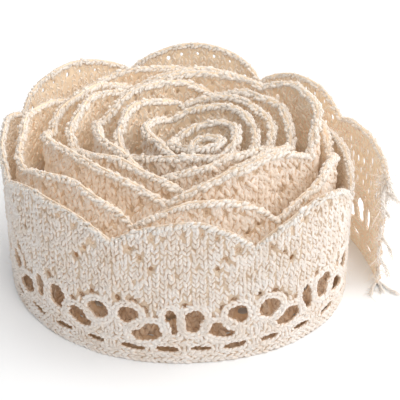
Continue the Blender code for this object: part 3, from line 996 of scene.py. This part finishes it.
def yarn_tree():
    """Turns lines of points into round yarn, with the thickness that each point gives."""
    tree = bpy.data.node_groups.new("yarn_runs", "GeometryNodeTree")
    give_sockets(tree, "INPUT", [("Geometry", "Geometry"), ("Sides", "Int", 5), ("Material", "Material")])
    give_sockets(tree, "OUTPUT", [("Geometry", "Geometry")])
    add = worker(tree)
    given = add("NodeGroupInput").outputs
    curve = add("GeometryNodeMeshToCurve", {"Mesh": given["Geometry"]}).outputs["Curve"]
    thick = read_own(add, "thick", "FLOAT")
    curve = add("GeometryNodeSetCurveRadius", {"Curve": curve, "Radius": thick}).outputs["Curve"]
    curve = keep_own(add, curve, "run", add("GeometryNodeSplineParameter").outputs["Length"], "FLOAT")
    ring = add("GeometryNodeCurvePrimitiveCircle", {"Resolution": given["Sides"], "Radius": 1.0})
    place = add("GeometryNodeInputPosition").outputs[0]
    ring = keep_own(add, ring.outputs["Curve"], "round", place, "FLOAT_VECTOR")
    swept = sweep(add, curve, ring)
    around = add("ShaderNodeSeparateXYZ", {0: read_own(add, "round", "FLOAT_VECTOR")}).outputs
    place = add("ShaderNodeCombineXYZ", {0: around["X"], 1: around["Y"], 2: read_own(add, "run", "FLOAT")})
    swept = keep_own(add, swept, "yarn_place", place.outputs[0], "FLOAT_VECTOR")
    finish_tree(add, swept, given["Material"])
    return tree


YARN_RUNS = yarn_tree()


def yarn_piece(name, lines, settings):
    """Yarn along several lines, each with its points and radii in metres and its facing."""
    points = np.concatenate([line for line, _, _ in lines])
    thick = np.concatenate([np.broadcast_to(radius, len(line)) for line, radius, _ in lines])
    facing = np.concatenate([np.broadcast_to(way, (len(line), 3)) for line, _, way in lines])
    edges, at = [], 0
    for line, _, _ in lines:
        edges += [(at + k, at + k + 1) for k in range(len(line) - 1)]
        at += len(line)
    return make_with(YARN_RUNS, name, points, edges, {"thick": thick, "facing": facing}, settings)


def off_the_cut(turn, rise):
    """Direction off the cut edge, turned outward and raised by so many degrees."""
    d = (on_strip(CUT_LINE, 0.0) - on_strip(CUT_LINE + 0.04, 0.0))[:2]
    d = d / np.linalg.norm(d)
    a, r = math.radians(turn), math.radians(rise)
    return np.array([(d[0] * math.cos(a) - d[1] * math.sin(a)) * math.cos(r),
                     (d[0] * math.sin(a) + d[1] * math.cos(a)) * math.cos(r), math.sin(r)])


def fibre(start, way, length, sway, thick, points=5):
    """One fine fibre: a bent line in metres with a tapering radius."""
    s = np.linspace(0.0, 1.0, points)[:, None]
    line = start + way * (length * MM) * s + sway * MM * s**2
    line[:, 2] = np.maximum(line[:, 2], 0.0001)
    return line, thick * MM * (1.0 - 0.55 * s[:, 0]), NO_SIDE


rng = np.random.default_rng(77)
cut_lines = []
for height, length, turn, rise, droop, radius in CUT_YARNS:
    root, way = on_strip(CUT_LINE, height), off_the_cut(turn, rise)
    side = np.cross(way, (0.0, 0.0, 1.0))
    side /= np.linalg.norm(side)
    over = np.cross(side, way)
    s = np.linspace(0.0, 1.0, 16)
    middle = root + way * (length * MM) * s[:, None]
    middle[:, 2] -= droop * MM * s**2
    wave = 0.25 * np.sin(s * rng.uniform(4, 7) + rng.uniform(0, 6)) * s
    middle = middle + side * (wave * MM)[:, None]
    for k in range(3):
        a = 2 * np.pi * (s * length / PLY_TURN + k / 3)
        apart = (0.5 * radius + 0.9 * radius * s**3) * MM
        line = middle + side * (apart * np.cos(a))[:, None] + over * (apart * np.sin(a))[:, None]
        line[:, 2] = np.maximum(line[:, 2], 0.0003)
        cut_lines.append((line, radius * 0.55 * MM * (1.0 - 0.5 * s**2), NO_SIDE))
    for k in range(12):
        at = rng.integers(4, 15)
        sway = rng.normal(0.0, 0.9, 3)
        stray = way + rng.normal(0, 0.45, 3)
        cut_lines.append(fibre(middle[at], stray, rng.uniform(1.0, 2.6), sway, 0.055))
for k in range(CUT_FIBRES):
    tuft = k < TUFT_FIBRES
    height = rng.uniform(TUFT_FROM if tuft else 0.5, CUT_TOP)
    start = on_strip(CUT_LINE + rng.uniform(-0.02, 0.03), height, rng.normal(0, 0.3))
    way = off_the_cut(rng.normal(0, 45), rng.normal(0, 35))
    reach = rng.uniform(1.0, 3.2) if tuft else rng.uniform(0.8, 2.2)
    cut_lines.append(fibre(start, way, reach, rng.normal(0.0, 0.8, 3), 0.06))
cut_yarns = yarn_piece("cut_yarns", cut_lines, {"Material": fluff_cotton, "Sides": 4})
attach(cut_yarns, "root")
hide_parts("frayed_end")

broken = Legs()
for count in (0.108, 0.126, 0.144):
    h = np.arange(0.6, float(reach_of(np.array([count]))[0]) - 0.6, 0.95)
    n = len(h)
    broken.add(count + rng.normal(0, 0.006, n), h + rng.normal(0, 0.1, n), rng.normal(0, 0.12, n),
               180.0 + rng.normal(0, 40, n), rng.normal(0, 0.25, n), 0.95)
broken_legs = broken.piece("broken_legs", {"Material": yarn_cotton, "Seed": 41})
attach(broken_legs, "root")

# Fuzz: short fibres of the soft-spun cotton work loose and stand off the trim everywhere, most of all
# along the scalloped edges, and blur its outline.

FIBRES_OFF = 3700
AT_EDGE_SHARE = 0.70
SEAM = 1.35

rng = np.random.default_rng(88)
fuzz_lines = []
for k in range(FIBRES_OFF):
    edge = rng.uniform() < AT_EDGE_SHARE
    count = rng.uniform(0.15, 36.0 if edge else 16.0)
    if abs(count - SEAM) < 0.02:
        continue
    top = float(reach_of(np.array([count]))[0])
    height = top + rng.uniform(-0.8, 0.4) if edge else rng.uniform(0.3, top)
    along, up, out = strip_axes(np.array(count))
    face = 1.0 if rng.uniform() < 0.7 else -1.0
    way = out * face * rng.uniform(0.3, 1.0) + up * rng.normal(0.3 if edge else 0.0, 0.7)
    way = way + along * rng.normal(0, 0.7)
    way = way / np.linalg.norm(way)
    start = on_strip(count, height, 0.35 * face)
    fuzz_lines.append(fibre(start, way, rng.uniform(0.6, 1.7), rng.normal(0.0, 0.5, 3), 0.032, 4))
fuzz = yarn_piece("fuzz", fuzz_lines, {"Material": fluff_cotton, "Sides": 3})
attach(fuzz, "root")

# Loose end: the stitches, plaits, foot and rim worked on the loose end, gathered with the cut yarns and
# the broken legs. Laid out flat, the strip's area would be less than width by length, because the scallops
# and the openings are cut out of it.

on_tail = [o for o in stitch_pieces + rim_pieces if o.name.startswith("loose_end")]
on_tail += [cut_yarns, broken_legs]
